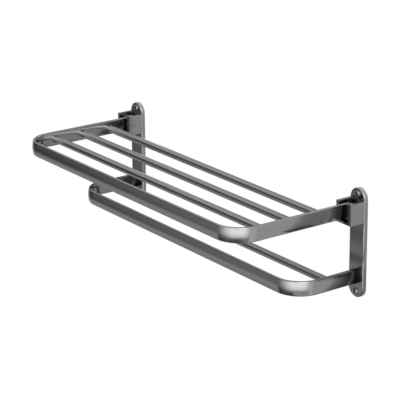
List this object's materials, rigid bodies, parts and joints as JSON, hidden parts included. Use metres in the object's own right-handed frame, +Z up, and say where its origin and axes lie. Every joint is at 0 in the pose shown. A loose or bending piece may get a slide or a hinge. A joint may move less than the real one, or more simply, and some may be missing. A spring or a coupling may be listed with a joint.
{
  "type": "towel rack",
  "caption": "Wall-mounted towel rack: a fold-up shelf of round cross bars in a flat-oval rail, hinged above a fixed lower rail on two wall plates.",
  "frame": {"origin": "centre of the rectangle of the four wall nuts, on the wall plane at the back of the plates", "axes": "+X along the wall to the right as seen from the room, +Y into the wall, +Z up"},
  "size_m": [0.636, 0.242, 0.178],
  "materials": {
    "bars": "gun grey, satin",
    "plates": "gun grey, satin",
    "hinges": "gun grey, satin",
    "screws": "grey, semi-gloss",
    "hidden_screws": "zinc plated",
    "nylon": "black nylon"
  },
  "bodies": {
    "wall_frame": {"left_wall_plate": "plates", "right_wall_plate": "plates", "left_hinge_channel": "hinges", "right_hinge_channel": "hinges", "left_hinge_pin": "screws", "right_hinge_pin": "screws", "left_hinge_washer": "nylon", "right_hinge_washer": "nylon", "left_channel_screws": "hidden_screws", "right_channel_screws": "hidden_screws", "left_rail_screws": "hidden_screws", "right_rail_screws": "hidden_screws", "left_wall_nuts": "screws", "right_wall_nuts": "screws", "lower_rail": "bars", "lower_cross_bar": "bars"},
    "shelf": {"shelf_rail": "bars", "rear_cross_bar": "bars", "middle_cross_bar": "bars", "front_cross_bar": "bars", "left_hinge_block": "hinges", "right_hinge_block": "hinges", "left_hinge_bush": "nylon", "right_hinge_bush": "nylon"}
  },
  "joints": [
    {"name": "shelf_fold", "type": "hinge", "parent": "wall_frame", "child": "shelf", "pos_m": [0, -0.0225, 0.0555], "axis": [-1, 0, 0], "range_deg": [0, 90]}
  ]
}
